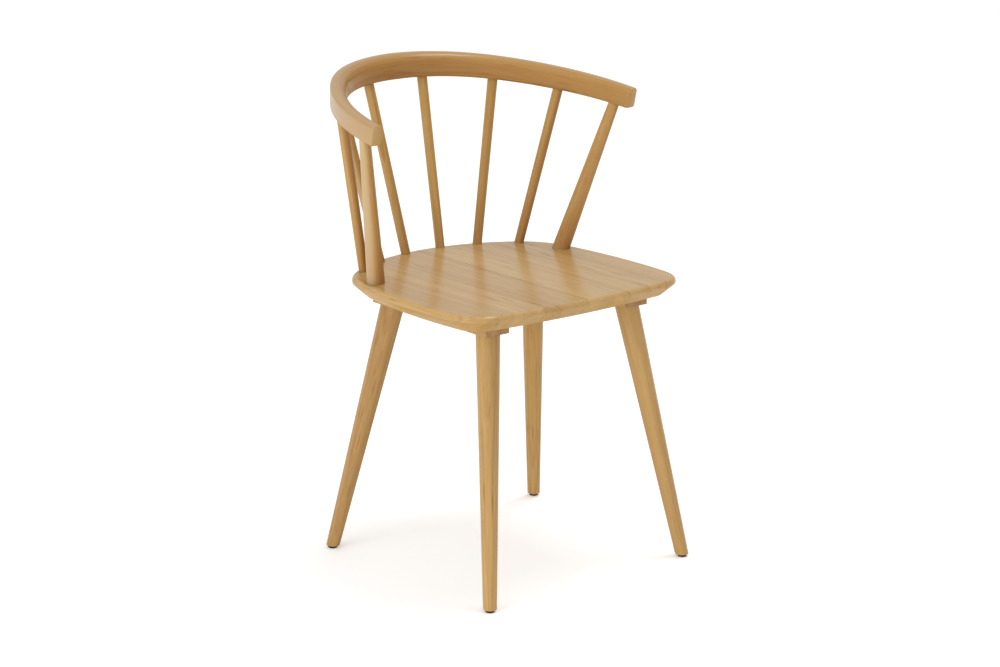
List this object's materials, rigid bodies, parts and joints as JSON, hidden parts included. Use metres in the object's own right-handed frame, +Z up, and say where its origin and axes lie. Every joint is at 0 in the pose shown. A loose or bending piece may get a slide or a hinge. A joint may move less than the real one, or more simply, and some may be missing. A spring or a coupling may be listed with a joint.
{
  "type": "spindle-back armchair",
  "caption": "Low-backed wooden armchair: a flat rounded seat on splayed round legs, with raking spindles and posts under a bent rail that forms the arms and the back.",
  "frame": {"origin": "on the floor, at the middle of the chair's width and depth", "axes": "+Z up; the chair faces -Y, so +Y points to its back and +X to the sitter's left"},
  "size_m": [0.5284, 0.5182, 0.76],
  "materials": {
    "seat": "clear satin lacquer, grain running from front to back",
    "rail": "clear satin lacquer, grain following the bend",
    "spindles": "clear satin lacquer, grain along the piece",
    "legs": "clear satin lacquer, grain along the leg",
    "blocks": "clear satin lacquer",
    "glides": "matte black",
    "steel": "zinc plated",
    "inserts": "plain"
  },
  "bodies": {
    "root": {"seat_board_1": "seat", "seat_board_2": "seat", "seat_board_3": "seat", "seat_board_4": "seat", "seat_board_5": "seat", "seat_board_6": "seat", "leg_block_front_left": "blocks", "leg_block_front_right": "blocks", "leg_block_rear_left": "blocks", "leg_block_rear_right": "blocks", "leg_front_left": "legs", "leg_front_right": "legs", "leg_rear_left": "legs", "leg_rear_right": "legs", "glide_front_left": "glides", "glide_front_right": "glides", "glide_rear_left": "glides", "glide_rear_right": "glides", "glide_nails": "steel", "hanger_bolts": "steel", "block_screws": "steel", "threaded_inserts": "inserts", "back_spindle_left_1": "spindles", "back_spindle_left_2": "spindles", "back_spindle_left_3": "spindles", "back_spindle_right_1": "spindles", "back_spindle_right_2": "spindles", "back_spindle_right_3": "spindles", "arm_post_left": "spindles", "arm_post_right": "spindles", "arm_rail": "rail"}
  },
  "joints": []
}
